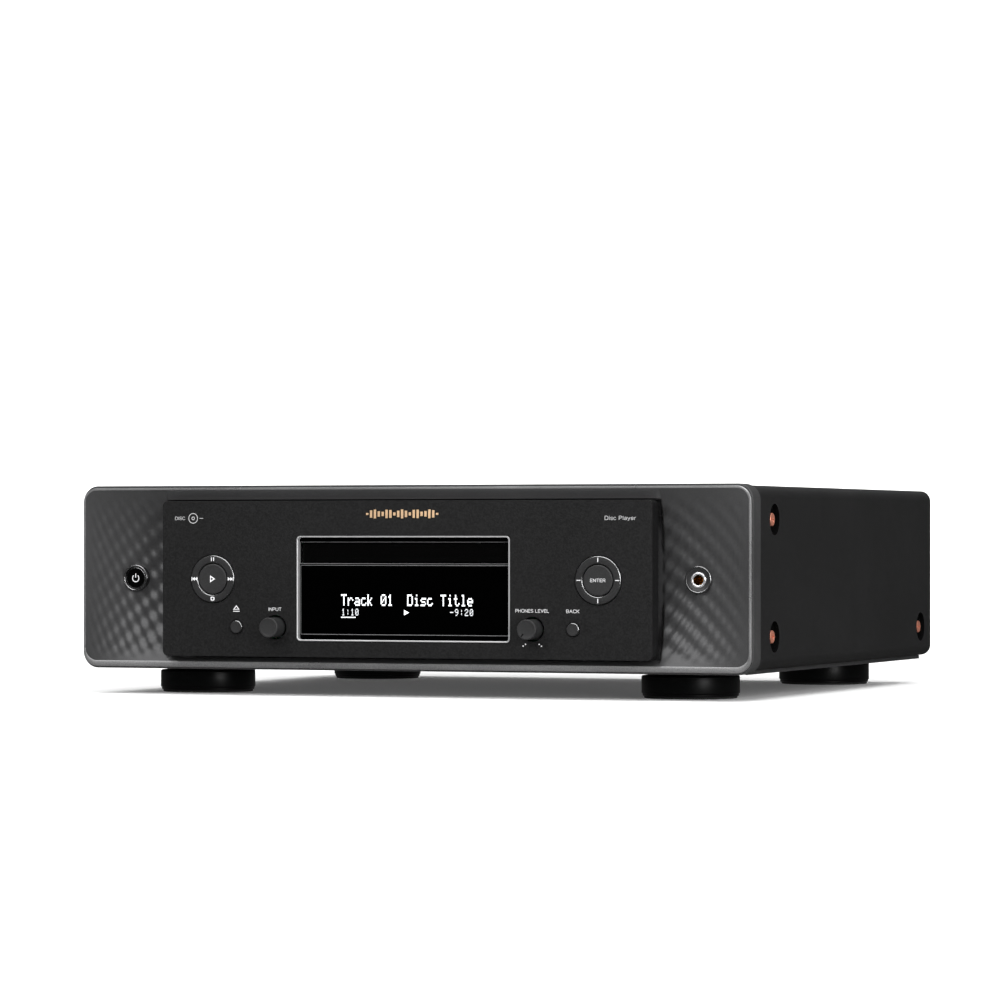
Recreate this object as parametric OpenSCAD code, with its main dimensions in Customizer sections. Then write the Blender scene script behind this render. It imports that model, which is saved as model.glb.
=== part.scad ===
// Full-width compact disc player: a steel case with a dished front plate,
// a floating centre panel, a front-loading disc tray and its mechanism.
// Frame: +Z up, the front faces -Y, origin at the middle of the base.
// Units are millimetres.

/* [Case] */
// Width over the front body
case_w = 442; // [438:1:446]
// Height from the table to the top of the front body
case_h = 130; // [128:1:132]
// Corner radius of the front body
front_r = 10; // [8:0.5:12]
// Outer corner radius of the steel cover
cover_r = 7; // [5:0.5:8]
// Sheet thickness of the cover
cover_t = 1.2; // [0.8:0.1:1.5]

/* [Feet] */
// Radius of each foot
foot_r = 30; // [26:1:32]
// Half the spacing of the feet across the width
foot_x = 162; // [150:1:170]

/* [Front controls] */
// Radius of the two round rocker rings
ring_r = 14.6; // [14:0.1:14.7]
// Radius of the centre buttons in the rings
hub_r = 9.3; // [8.5:0.1:9.4]
// Radius of the two rotary knobs
knob_r = 6.1; // [5.5:0.1:6.5]
// Radius of the small round buttons
pip_r = 4.05; // [3.6:0.05:4.1]
// Bore radius of the headphone socket
jack_r = 3.2; // [3.175:0.025:3.25]

/* [Disc loader] */
// Outer radius of the well in the disc tray
well_r = 60.8; // [60.3:0.1:61]
// Depth of the disc well
well_d = 3; // [2:0.5:3]
// Tilt of the lowered traverse, in degrees
lower_a = 4.2; // [3.8:0.1:4.4]

/* [Hidden] */
$fn = 64;

hw = case_w / 2;          // half width of the front body
cw = hw - 1;              // half width of the cover
zt = case_h;              // top of the front body
zb = 16;                  // bottom of the front body
y_panel = -201.5;         // face of the centre panel
y_plate = -193.5;         // rim of the front plate
y_bez = -191.5;           // front of the front body
y_case = -176.9;          // front edge of the cover
y_rear = 200.7;           // outside of the rear panel
ring_x = 126.8;           // centres of the rocker rings
ring_z = 72.1;
pip_x = 110.8;            // centres of the small buttons
pip_z = 42.5;
knob_x = 84.7;            // centres of the knobs
knob_z = 42.5;
side_x = 185.8;           // power button and headphone socket
side_z = 72.4;
fy = [-133, 144.9];       // rows of feet
spin_y = -112;            // disc axis with the tray in
hinge_y = -17;            // pivot line of the traverse
hinge_z = 78;
mesh_x = 51.15;           // axis of the loading gear
mesh_y = -160;
sled_gx = 28.2;           // axis of the sled gear
sled_gy = -78;
screw_pos = [[-146.7, 108.6], [-146.7, 37.9], [176.1, 37.9]];
rear_screws_pos = [[-208, 108], [-208, 40], [-60, 118], [60, 118], [208, 108], [208, 76], [-60, 26], [40, 26], [150, 88], [-120, 112]];

// ---- helpers ----
module bx(x0, x1, y0, y1, z0, z1) { translate([x0, y0, z0]) cube([x1 - x0, y1 - y0, z1 - z0]); }
module cy(x, z, r, y0, y1) { translate([x, y1, z]) rotate([90, 0, 0]) cylinder(r = r, h = y1 - y0); }
module cx(y, z, r, x0, x1) { translate([x0, y, z]) rotate([0, 90, 0]) cylinder(r = r, h = x1 - x0); }
module cz(x, y, r, z0, z1) { translate([x, y, z0]) cylinder(r = r, h = z1 - z0); }
module hx(x, z, r, y0, y1) { translate([x, y1, z]) rotate([90, 0, 0]) cylinder(r = r, h = y1 - y0, $fn = 6); }
// rounded rectangle from exact arcs
module rr(x0, x1, z0, z1, r) {
    translate([x0 + r, z0]) square([x1 - x0 - 2 * r, z1 - z0]);
    translate([x0, z0 + r]) square([x1 - x0, z1 - z0 - 2 * r]);
    for (x = [x0 + r, x1 - r], z = [z0 + r, z1 - r]) translate([x, z]) circle(r = r);
}
// extrusion along Y of a drawing made in X and Z
module ey(y0, y1) { translate([0, y1, 0]) rotate([90, 0, 0]) linear_extrude(height = y1 - y0) children(); }
module both() { children(); mirror([1, 0, 0]) children(); }
// places the traverse, drawn level, at its lowered rest angle
module lowered() { translate([0, hinge_y, hinge_z]) rotate([lower_a, 0, 0]) translate([0, -hinge_y, -hinge_z]) children(); }

// involute of a circle, in degrees
function inv(a) = tan(a) * 180 / PI - a;
// half angle of a tooth at radius r, for n teeth of module m and flank play b
function half_at(r, n, m, b) = let (rp = n * m / 2, rb = rp * cos(20), rq = max(r, rb))
    (PI * m / 2 - b) / (2 * rp) * 180 / PI + inv(20) - inv(acos(rb / rq));
module gear2d(n, m, ad, dd, b) {
    rp = n * m / 2; ra = rp + ad; rf = rp - dd; rb = rp * cos(20);
    rs = [rf, rb, rb + (ra - rb) * 0.25, rb + (ra - rb) * 0.5, rb + (ra - rb) * 0.75, ra];
    polygon([for (k = [0 : n - 1]) each concat(
        [for (r = rs) let (t = 360 * k / n - half_at(r, n, m, b)) [r * cos(t), r * sin(t)]],
        [for (i = [5 : -1 : 0]) let (r = rs[i], t = 360 * k / n + half_at(r, n, m, b)) [r * cos(t), r * sin(t)]])]);
}
// straight rack: teeth point to -X, pitch line at x = 0, a gap is centred on y = 0
module rack2d(k0, k1, m, ad, dd, b, back) {
    p = PI * m; t = p / 4 - b / 2;
    polygon(concat([[back, (k0 + 0.5) * p - p / 2]],
        [for (k = [k0 : k1]) let (c = (k + 0.5) * p) each [
            [dd, c - t - dd * tan(20)], [-ad, c - t + ad * tan(20)],
            [-ad, c + t - ad * tan(20)], [dd, c + t + dd * tan(20)]]],
        [[back, (k1 + 0.5) * p + p / 2]]));
}

// ---- case ----
module bottom_chassis() color("#4a4b4e") {
    difference() {
        union() {
            bx(-212.5, 212.5, y_case, 199.2, 16.9, 18.1);
            // turned-down lips
            both() bx(211.3, 212.5, y_case, 199.2, 15.7, 16.9);
            bx(-211.3, 211.3, 198, 199.2, 15.7, 16.9);
            // side tabs with threaded bosses for the cover screws
            both() {
                bx(211.3, 212.5, -158, -136, 18.1, 118);
                bx(211.3, 212.5, 166, 186, 18.1, 48);
                for (p = screw_pos) cx(p[0], p[1], 5.5, 212.5, 215.8);
            }
            // standoffs for the boards
            for (x = [-198, -92], y = [-148, 48]) cz(x, y, 3.5, 18.1, 26);
            for (x = [-198, -70, 52], y = [88, 186]) cz(x, y, 3.5, 18.1, 28);
            // pressed ribs
            for (x = [-40, 0, 40]) bx(x - 4, x + 4, -150, 60, 18.1, 19.3);
        }
        both() for (p = screw_pos) cx(p[0], p[1], 1.6, 210, 216);
        for (s = [-1, 1], y = fy) cz(s * foot_x, y, 2.05, 16, 19);
        // ventilation slots under the transformer and the power supply
        for (i = [0 : 7]) for (x = [-150, 66]) bx(x + i * 8, x + i * 8 + 3, 60, 78, 16, 19);
        cz(140, -40, 3.1, 16, 19);
    }
}
module cover_shape(t) {
    difference() {
        rr(-cw + t, cw - t, 18.3 + t, 129 - t, cover_r - t);
    }
}
module top_cover() color("#151515") {
    difference() {
        union() {
            difference() {
                ey(y_case, y_rear) cover_shape(0);
                ey(y_case - 1, y_rear + 1) cover_shape(cover_t);
                bx(-213, 213, y_case - 1, y_rear + 1, 17, 30);
            }
            // pressed screw wells
            both() for (p = screw_pos) cx(p[0], p[1], 10.7, 215.8, cw - cover_t + 0.1);
        }
        both() for (p = screw_pos) {
            cx(p[0], p[1], 9.5, 217, cw + 1);
            cx(p[0], p[1], 2.1, 215, 218);
        }
    }
}
module rear_panel() color("#1b1b1c") {
    difference() {
        ey(199.2, y_rear) rr(-218.6, 218.6, 19.8, 127.6, 5.9);
        for (x = [-165, -140], z = [72, 92]) cy(x, z, 6.2, 198, 202);
        cy(-105, 92, 6.2, 198, 202);
        for (x = [-105, -83]) bx(x - 7, x + 7, 198, 202, 65.5, 78.5);
        bx(94.8, 111.2, 198, 202, 59.3, 75.7);
        bx(121.3, 135.7, 198, 202, 59.3, 69.2);
        for (x = [-22, 184]) cy(x, 110, 3.35, 198, 202);
        bx(170.5, 197.5, 198, 202, 38.5, 58.5);
        for (p = rear_screws_pos) cy(p[0], p[1], 1.55, 198, 202);
        for (i = [0 : 11]) bx(-20 + i * 7, -17 + i * 7, 198, 202, 40, 58);
        for (x = [167, 201]) cy(x, 48.5, 1.55, 198, 202);
    }
}
module cover_screws() color("#b3593f") {
    both() for (p = screw_pos) difference() {
        union() {
            cx(p[0], p[1], 4, 217, 218.5);
            translate([218.5, p[0], p[1]]) rotate([0, 90, 0]) cylinder(r1 = 4, r2 = 3.3, h = 0.5);
            cx(p[0], p[1], 1.58, 208, 217);
        }
        bx(217.7, 220, p[0] - 2, p[0] + 2, p[1] - 0.45, p[1] + 0.45);
        bx(217.7, 220, p[0] - 0.45, p[0] + 0.45, p[1] - 2, p[1] + 2);
    }
}
module chassis_screws() color("#1d1d1e") {
    for (p = rear_screws_pos) difference() {
        union() { cy(p[0], p[1], 2.9, y_rear, 202.3); cy(p[0], p[1], 1.5, 195.4, y_rear); }
        bx(p[0] - 1.7, p[0] + 1.7, 201.5, 203, p[1] - 0.4, p[1] + 0.4);
        bx(p[0] - 0.4, p[0] + 0.4, 201.5, 203, p[1] - 1.7, p[1] + 1.7);
    }
    for (s = [-1, 1], y = fy) difference() {
        union() { cz(s * foot_x, y, 3.8, 7, 10); cz(s * foot_x, y, 2, 10, 22); }
        bx(s * foot_x - 2.2, s * foot_x + 2.2, y - 0.5, y + 0.5, 6, 8.2);
        bx(s * foot_x - 0.5, s * foot_x + 0.5, y - 2.2, y + 2.2, 6, 8.2);
    }
}
module foot(x, y) {
    translate([x, y, 0]) difference() {
        rotate_extrude() polygon([[2.05, 10], [2.05, 16.9], [26, 16.9], [26, 13.9], [foot_r - 0.6, 13.9], [foot_r, 13.3],
            [foot_r, 2.4], [foot_r - 0.8, 1.2], [28.6, 1.2], [28.6, 2.2], [23.4, 2.2], [23.4, 1.2], [10, 1.2], [7, 4], [7, 10]]);
    }
}
module feet() color("#202020") { for (s = [-1, 1], y = fy) foot(s * foot_x, y); }
module foot_pads() color("#2b2b2b") {
    for (s = [-1, 1], y = fy) translate([s * foot_x, y, 0])
        rotate_extrude() translate([23.5, 0]) square([5, 2.2]);
}

// ---- front ----
module front_bezel() color("#2a2b2c") {
    difference() {
        ey(y_bez, y_case) rr(-hw, hw, zb, zt, front_r);
        ey(y_bez - 1, -181) rr(-217.2, 217.2, 19.8, 126.2, 7);
        ey(-182, y_case + 1) rr(-146.5, 146.5, 33, 110, 3);
        both() cy(side_x, side_z, 7.6, -182, y_case + 1);
    }
}
module front_plate() color("#3c3d3f") {
    difference() {
        union() {
            ey(y_plate, -191.9) rr(-hw + 0.8, hw - 0.8, 17.1, 128.7, 9.3);
            ey(-191.9, y_bez) rr(-hw + 1.8, hw - 1.8, 18.1, 127.7, 8.3);
            ey(y_bez, -181) rr(-217, 217, 20, 126, 6.8);
        }
        // dish that falls away towards the centre panel
        translate([0, 0, 20.8]) linear_extrude(height = 106.5) polygon([
            [-218.8, y_plate - 1], [-218.8, y_plate], [-186, -188.5], [-158, -182.6], [158, -182.6],
            [186, -188.5], [218.8, y_plate], [218.8, y_plate - 1]]);
        ey(-195, -180) rr(-150.1, 150.1, 28.9, 115.1, 3);
        both() cy(side_x, side_z, 8.35, -195, -180);
    }
}
module centre_panel() color("#232324") {
    difference() {
        union() {
            difference() {
                ey(y_panel, -190.5) rr(-161.1, 161.1, 24.3, 120.4, 3.3);
                ey(-198.5, -189) rr(-158.1, 158.1, 27.3, 117.4, 1.5);
            }
            difference() {
                ey(-198.6, -181) rr(-150, 150, 29, 115, 3);
                ey(-198.5, -180) rr(-147.5, 147.5, 31.5, 112.5, 1.5);
            }
        }
        ey(-203, -197) rr(-70.25, 70.25, 34.15, 98.75, 2.5);
        both() {
            cy(ring_x, ring_z, 15.1, -203, -197);
            cy(knob_x, knob_z, 7.6, -203, -197);
            cy(pip_x, pip_z, 4.55, -203, -197);
        }
    }
}
module panel_emblem() color("#b8935a") {
    ey(-201.9, y_panel) {
        // row of upright bars of changing height, like a sound wave
        for (i = [-9 : 9]) {
            h = 1.2 + 4.2 * abs(cos(i * 50));
            translate([i * 2.56, 112.1]) square([1.5, h], center = true);
        }
    }
}
module display_frame() color("#c9cacc") {
    difference() {
        ey(-202, -194.4) rr(-70.2, 70.2, 34.2, 98.7, 2.5);
        ey(-203, -194) rr(-69.3, 69.3, 35.1, 97.8, 1.7);
    }
}
module display_window() color("#050505") {
    difference() {
        ey(-198.6, -195.8) rr(-69.3, 69.3, 35.1, 97.8, 1.7);
        bx(-69, 69, -200, -195, 81.7, 94.9);
        ey(-200, -198.1) rr(-68.2, 68.2, 38.3, 80.6, 0.5);
    }
}
module display_module() color("#15241c") {
    bx(-66, 66, -195.6, -193.4, 39, 80.4);
    bx(-60, 60, -193.4, -191.2, 42, 77);
    for (x = [-50, 50], z = [44, 74]) cy(x, z, 2, -191.2, -189.5);
}
module power_ring() color("#bfc0c2") {
    translate([-side_x, -189.9, side_z]) rotate([-90, 0, 0]) rotate_extrude()
        polygon([[7.1, 0.5], [7.5, 0], [7.9, 0], [8.3, 0.5], [8.3, 8.9], [7.1, 8.9]]);
}
module headphone_jack() color("#b9babc") {
    difference() {
        union() {
            translate([side_x, -189.9, side_z]) rotate([-90, 0, 0]) rotate_extrude()
                polygon([[4.7, 1.2], [7.4, 0], [7.9, 0], [8.3, 0.5], [8.3, 8.9], [4.7, 8.9]]);
            cy(side_x, side_z, 4.7, -189.2, -178);
            cy(side_x, side_z, 7.4, -181, -176.9);
            bx(side_x - 8, side_x + 8, -176.9, -152, side_z - 8, side_z + 8);
        }
        cy(side_x, side_z, jack_r, -191, -156);
    }
}
module front_board() color("#1d5a36") {
    difference() {
        ey(-189.5, -187.9) difference() {
            rr(-147, 147, 32, 112, 1.5);
            translate([-71, 80.8]) square([142, 40]);
        }
        both() { cy(knob_x, knob_z, 3.6, -191, -187); }
    }
    // small board behind the power button, on two posts
    bx(-197, -175, -165.6, -164, 62, 83);
    for (z = [64.5, 80.5]) cy(-194, z, 2, y_case, -165.6);
}
module tact(x, z, y) { bx(x - 3, x + 3, y + 0.9, y + 3.4, z - 3, z + 3); cy(x, z, 1.7, y, y + 0.9); }
module tact_switches() color("#8a8c90") {
    for (s = [-1, 1]) {
        tact(s * ring_x, ring_z, -192.9);
        tact(s * pip_x, pip_z, -192.9);
        for (d = [[12.2, 0], [-12.2, 0], [0, 12.2], [0, -12.2]]) tact(s * ring_x + d[0], ring_z + d[1], -192.9);
    }
    tact(-side_x, side_z, -169);
}
module rotary(x) {
    difference() {
        union() { bx(x - 6, x + 6, -194.5, -189.5, knob_z - 6.4, knob_z + 6.4); cy(x, knob_z, 4.5, -196.6, -194.5); }
        cy(x, knob_z, 3.06, -198, -189);
    }
}
module input_encoder() color("#77797d") rotary(-knob_x);
module phones_pot() color("#6a6c70") rotary(knob_x);
module power_button() color("#0c0c0d") {
    translate([-side_x, -189.3, side_z]) rotate([-90, 0, 0]) rotate_extrude()
        polygon([[0, 0], [6.0, 0], [6.7, 0.6], [6.7, 10.9], [0, 10.9]]);
    cy(-side_x, side_z, 3, -178.5, -169.8);
}
module hub(x) {
    translate([x, -202.3, ring_z]) rotate([-90, 0, 0]) rotate_extrude()
        polygon([[0, 0], [hub_r - 0.4, 0], [hub_r, 0.4], [hub_r, 6.1], [0, 6.1]]);
    cy(x, ring_z, 3, -196.3, -193.7);
}
module play_button() color("#2c2c2d") hub(-ring_x);
module enter_button() color("#2c2c2d") hub(ring_x);
module ring(x) {
    translate([x, -202.2, ring_z]) rotate([-90, 0, 0]) rotate_extrude()
        polygon([[9.95, 0.5], [10.4, 0], [ring_r - 0.45, 0], [ring_r, 0.5], [ring_r, 5.9], [9.95, 5.9]]);
}
module transport_ring() color("#262627") ring(-ring_x);
module nav_ring() color("#262627") ring(ring_x);
module carrier(x) {
    difference() {
        cy(x, ring_z, 14.2, -195.5, -193.9);
        cy(x, ring_z, 9.6, -197, -193);
    }
}
module transport_carrier() color("#3a3a3c") carrier(-ring_x);
module nav_carrier() color("#3a3a3c") carrier(ring_x);
module pip(x) {
    translate([x, -202.6, pip_z]) rotate([-90, 0, 0]) rotate_extrude()
        polygon([[0, 0], [pip_r - 0.4, 0], [pip_r, 0.4], [pip_r, 4.4], [5.4, 4.4], [5.4, 5.6], [0, 5.6]]);
    cy(x, pip_z, 1.6, -197.2, -193.7);
}
module eject_button() color("#2a2a2b") pip(-pip_x);
module back_button() color("#2a2a2b") pip(pip_x);
module knob(x, a) {
    difference() {
        union() {
            translate([x, -212, knob_z]) rotate([-90, 0, 0]) rotate_extrude()
                polygon([[0, 0], [knob_r - 0.5, 0], [knob_r, 0.5], [knob_r, 14.6], [0, 14.6]]);
            cy(x, knob_z, 3, -197.5, -188.4);
        }
        if (a >= 0) translate([x, -212, knob_z]) rotate([0, a, 0]) bx(-0.4, 0.4, -1, 0.5, 3, 8);
    }
}
module input_knob() color("#2b2b2c") knob(-knob_x, -1);
module phones_knob() color("#2b2b2c") knob(knob_x, 218);

// ---- disc loader ----
module loader_base() color("#191a1b") {
    difference() {
        union() {
            both() bx(66, 70, -172, 18, 62, 95);
            both() bx(60, 66, -172, 18, 80.5, 83.4);
            bx(-66, 66, -172, 18, 62, 64.5);
            bx(-66, 66, -146, -143.2, 64.5, 80);
            // bearing blocks of the traverse pivots
            both() bx(46, 52, hinge_y - 6, hinge_y + 6, 64.5, 82);
            // loading gear post
            cz(mesh_x, mesh_y, 5.4, 64.5, 67);
            cz(mesh_x, mesh_y, 2, 67, 86);
            // upper keepers of the tray
            both() for (y = [-168, -60]) bx(63, 66, y, y + 10, 92.8, 95);
        }
        bx(-44, 44, -140, -8, 61, 65);
        both() cx(hinge_y, hinge_z, 2.56, 45, 53);
        // clearance of the loading gear and of the lowered traverse
        cz(mesh_x, mesh_y, 14.8, 80.4, 83.5);
        cz(mesh_x, mesh_y, 14.8, 67, 76);
        cz(0, -160, 4.4, 61, 66);
    }
    cz(mesh_x, mesh_y, 2, 66, 86);
}
module loader_bridge() color("#8d8f92") {
    difference() {
        bx(-70, 70, -130, -94, 97, 98.2);
        cz(0, spin_y, 13.2, 96, 99);
    }
    both() bx(66.5, 70, -130, -94, 95, 97);
}
module loader_brackets() color("#7c7e81") {
    both() for (y = [-168, -4]) {
        bx(66, 67.2, y, y + 18, 18.1, 62);
        bx(56, 66, y, y + 18, 60.8, 62);
        bx(56, 66, y, y + 18, 18.1, 19.3);
    }
}
module loading_motor() color("#a3a5a8") {
    difference() {
        cz(0, -160, 10, 42, 62);
        cz(0, -160, 1.06, 50, 63);
    }
    for (x = [-4, 4]) bx(x - 0.5, x + 0.5, -164, -156, 39, 42);
}
module motor_pulley() color("#d8d4c8") {
    translate([0, -160, 67.6]) rotate_extrude() polygon([[0, 0], [5, 0], [4, 1.2], [4, 2.8], [5, 4], [0, 4]]);
    cz(0, -160, 1, 51, 68);
}
module drive_gear() color("#e2dfd4") {
    difference() {
        union() {
            translate([mesh_x, mesh_y, 67.6]) rotate_extrude()
                polygon([[0, 0], [14, 0], [13, 1.2], [13, 2.8], [14, 4], [0, 4]]);
            cz(mesh_x, mesh_y, 4.6, 71.6, 83.8);
            translate([mesh_x, mesh_y, 83.8]) linear_extrude(height = 2.7) gear2d(14, 1, 0.8, 1.1, 0.3);
        }
        cz(mesh_x, mesh_y, 2.06, 60, 90);
    }
}
module loading_belt() color("#1c1c1c") {
    d = mesh_x;
    translate([0, -160, 68.9]) linear_extrude(height = 1.4) difference() {
        hull() { circle(r = 5.4, $fn = 32); translate([d, 0]) circle(r = 14.5, $fn = 48); }
        hull() { circle(r = 4.35, $fn = 32); translate([d, 0]) circle(r = 13.4, $fn = 48); }
    }
}
module disc_tray() color("#111112") {
    difference() {
        union() {
            bx(-65, 65, -193, -36, 87, 92);
            both() bx(59.3, 65, -193, 12, 84, 92);
        }
        cz(0, spin_y, well_r, 92 - well_d, 93);
        cz(0, spin_y, 23, 86, 93);
        bx(-23, 23, spin_y, -48, 86, 93);
        // finger relief at the sides of the well
        both() bx(48, 57, -150, -74, 90.2, 93);
        bx(-23, 23, -50, -35, 86, 93);
    }
    // rack under the right rail
    translate([58.2, mesh_y, 84]) linear_extrude(height = 3) rack2d(-3, 50, 1, 0.8, 1.1, 0.3, 1.4);
}
module tray_door() color("#0d0d0e") {
    difference() {
        ey(-197, -193) rr(-68.2, 68.2, 82.3, 94.2, 0.8);
    }
}
module traverse_frame() color("#6f7275") lowered() {
    difference() {
        union() {
            bx(-36, 36, -136, -19, 72, 75);
            bx(-36, 36, -136, -133.5, 75, 81);
            both() bx(33.5, 36, -133.5, -19, 75, 77.5);
            // rear pivots
            both() { bx(30, 36, -24, -11, 72, 81); cx(hinge_y, hinge_z, 2.5, 36, 51.5); }
            // rod holders
            both() { bx(11, 17, -100.5, -97.5, 75, 81.5); bx(11, 17, -35.5, -32.5, 75, 81.5); }
            cy(0, 78, 1.5, -143, -136);
        }
        cz(0, spin_y, 9, 71, 76);
        bx(-10, 10, -90, -42, 71, 76);
        cz(sled_gx, sled_gy, 3.2, 71, 76);
        both() cy(14, 79, 1.5, -99.5, -33.5);
    }
}
module guide_rods() color("#cfd1d4") lowered() both() cy(14, 79, 1.5, -99.5, -33.5);
module spindle_motor() color("#b3b5b8") lowered() {
    difference() {
        union() { cz(0, spin_y, 11.5, 63, 72); cz(0, spin_y, 4, 72, 85); }
        cz(0, spin_y, 1.06, 65, 86);
    }
}
module sled_motor() color("#a9abae") lowered() {
    difference() {
        union() { cz(sled_gx, sled_gy, 6, 66, 72); cz(sled_gx, sled_gy, 2.2, 72, 77); }
        cz(sled_gx, sled_gy, 0.81, 67, 78);
    }
}
module turntable() color("#26272a") lowered() {
    translate([0, spin_y, 0]) rotate_extrude() polygon([[0, 65.5], [1, 65.5], [1, 86], [5, 86], [5, 88], [15.5, 88],
        [15.5, 90.5], [7.4, 90.5], [5.5, 92.5], [0, 92.5]]);
}
module pickup_sled() color("#3f4144") lowered() {
    difference() {
        union() {
            bx(-19, 19.4, -97, -71, 77, 84);
            bx(-11, 11, -95, -77, 84, 86);
        }
        both() cy(14, 79, 1.56, -98, -70);
    }
    // rack on the right side
    translate([22.15, sled_gy, 78.2]) mirror([1, 0, 0]) linear_extrude(height = 2.8) rack2d(-12, 1, 1, 0.65, 1.1, 0.3, 2.9);
}
module pickup_lens() color("#7fa0c8") lowered() {
    cz(0, -87, 3.6, 86, 87.3);
    cz(0, -87, 2.1, 87.3, 88.3);
}
module sled_gear() color("#e2dfd4") lowered() {
    translate([sled_gx, sled_gy, 78.2]) linear_extrude(height = 2.8) gear2d(12, 1, 0.65, 1.1, 0.3);
    cz(sled_gx, sled_gy, 0.75, 68, 78.2);
}
module cam_slider() color("#d8d5cb") {
    z0 = hinge_z - (141.2 + hinge_y) * sin(lower_a);
    difference() {
        bx(-31, 9, -142.9, -139.6, 64.9, 82);
        hull() for (q = [[0, z0], [-24, 78]]) translate([q[0], -138, q[1]]) rotate([90, 0, 0]) cylinder(r = 1.9, h = 6, $fn = 32);
    }
}
module clamp_puck() color("#2d2e31") {
    translate([0, spin_y, 0]) rotate_extrude() polygon([[0, 95], [8, 95], [8, 92.7], [15, 92.7], [15, 95.4], [12, 95.4],
        [12, 98.6], [17, 98.6], [17, 100.4], [0, 100.4]]);
}

// ---- electronics ----
module chip(x, y, w, d, z, h) { bx(x, x + w, y, y + d, z, z + h); }
module main_board() color("#1f6b3c") {
    bx(-205, 60, 82, 194, 28, 29.6);
    chip(-180, 110, 14, 14, 29.6, 1.4); chip(-140, 120, 20, 20, 29.6, 1.6); chip(-90, 100, 10, 16, 29.6, 1.2);
    chip(-40, 120, 28, 28, 29.6, 1.6); chip(10, 110, 12, 20, 29.6, 1.4);
    for (i = [0 : 7]) cz(-190 + i * 16, 160, 4, 29.6, 41);
    for (i = [0 : 5]) cz(-186 + i * 14, 92, 3.15, 29.6, 36.6);
    bx(-30, 10, 86, 92, 29.6, 38); bx(20, 50, 86, 92, 29.6, 38);
}
module power_supply_board() color("#8a6a35") {
    bx(-205, -85, -154, 54, 26, 27.6);
    bx(-198, -194, -120, 20, 27.6, 62);
    for (i = [0 : 3]) bx(-194, -189, -110 + i * 32, -100 + i * 32, 29, 45);
    bx(-130, -100, 20, 44, 27.6, 48);
    bx(-180, -160, -148, -140, 27.6, 38);
}
module transformer() color("#3a3c40") {
    translate([140, -40, 0]) union() {
        rotate_extrude() polygon([[3.5, 19.3], [48, 19.3], [50, 22], [50, 60], [48, 62], [3.5, 62]]);
        translate([0, 0, 62]) rotate_extrude() polygon([[0, 0], [30, 0], [30, 1.5], [6, 1.5], [6, 5.5], [0, 5.5]]);
        rotate_extrude() polygon([[0, 16], [3, 16], [3, 62], [0, 62]]);
        rotate_extrude() polygon([[3, 18.1], [30, 18.1], [30, 19.3], [3, 19.3]]);
    }
}
module filter_capacitors() color("#1b2440") {
    for (x = [-165, -135], y = [-100, -68, -36, -4]) difference() {
        cz(x, y, 11, 27.6, 60);
        bx(x - 6, x + 6, y - 0.4, y + 0.4, 59.6, 61);
        bx(x - 0.4, x + 0.4, y - 6, y + 6, 59.6, 61);
    }
}
module network_module() color("#2b6b50") {
    bx(74, 150, 118, 196, 58, 59.6);
    bx(84, 132, 126, 166, 59.6, 64);
    for (x = [78, 146], y = [122, 190]) cz(x, y, 3, 18.1, 58);
}
module rca(x, z) {
    difference() {
        union() { cy(x, z, 6, 199.2, 201.4); cy(x, z, 4.15, 201.4, 210.4); }
        cy(x, z, 1.7, 203, 211);
    }
}
module audio_jacks() color("#c9a24e") {
    for (x = [-165, -140], z = [72, 92]) rca(x, z);
    bx(-174, -131, 187, 199.2, 64, 100);
}
module digital_jacks() color("#26282c") {
    difference() {
        union() {
            rca(-105, 92);
            bx(-114, -74, 184, 199.2, 64, 100);
            for (x = [-105, -83]) bx(x - 6.8, x + 6.8, 199.2, 202.4, 65.7, 78.3);
        }
        for (x = [-105, -83]) bx(x - 4.8, x + 4.8, 190, 203, 67.2, 76.8);
    }
}
module network_ports() color("#b8babd") {
    difference() {
        bx(95, 111, 184, 201.5, 59.6, 75.5);
        bx(97, 109, 188, 202, 64, 72.5);
        bx(100, 106, 188, 202, 62, 64.5);
    }
    difference() {
        bx(121.5, 135.5, 184, 201.5, 59.6, 69);
        bx(122.2, 134.8, 187, 202, 62.6, 68.3);
    }
}
module antenna_sockets() color("#c7a458") {
    for (x = [-22, 184]) difference() {
        union() {
            cy(x, 110, 3.1, 192, 212);
            hx(x, 110, 5.2, y_rear, 203.2);
            cy(x, 110, 5, 197, 199.2);
        }
        cy(x, 110, 2.3, 204, 213);
    }
}
module ac_inlet() color("#17181a") {
    difference() {
        union() {
            bx(170.8, 197.2, 180, 200.7, 38.8, 58.2);
            ey(200.7, 203) rr(162, 206, 36, 61, 3);
        }
        bx(172.8, 195.2, 184, 204, 40.8, 56.2);
        for (x = [167, 201]) cy(x, 48.5, 1.6, 199, 204);
    }
    for (x = [177, 191]) bx(x - 1, x + 1, 184, 200, 43, 47);
    bx(182, 186, 184, 201, 52.3, 54.3);
}

bottom_chassis();
top_cover();
rear_panel();
cover_screws();
chassis_screws();
feet();
foot_pads();
front_bezel();
front_plate();
centre_panel();
panel_emblem();
display_frame();
display_window();
display_module();
power_ring();
headphone_jack();
front_board();
tact_switches();
input_encoder();
phones_pot();
loader_base();
loader_bridge();
loader_brackets();
loading_motor();
loading_belt();
main_board();
power_supply_board();
transformer();
filter_capacitors();
network_module();
audio_jacks();
digital_jacks();
network_ports();
antenna_sockets();
ac_inlet();
disc_tray();
tray_door();
motor_pulley();
drive_gear();
traverse_frame();
guide_rods();
spindle_motor();
sled_motor();
turntable();
pickup_sled();
pickup_lens();
sled_gear();
cam_slider();
clamp_puck();
power_button();
play_button();
transport_carrier();
transport_ring();
nav_carrier();
nav_ring();
enter_button();
eject_button();
back_button();
input_knob();
phones_knob();
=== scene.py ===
import math
import bpy
import bmesh
from mathutils import Vector, Matrix


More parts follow.
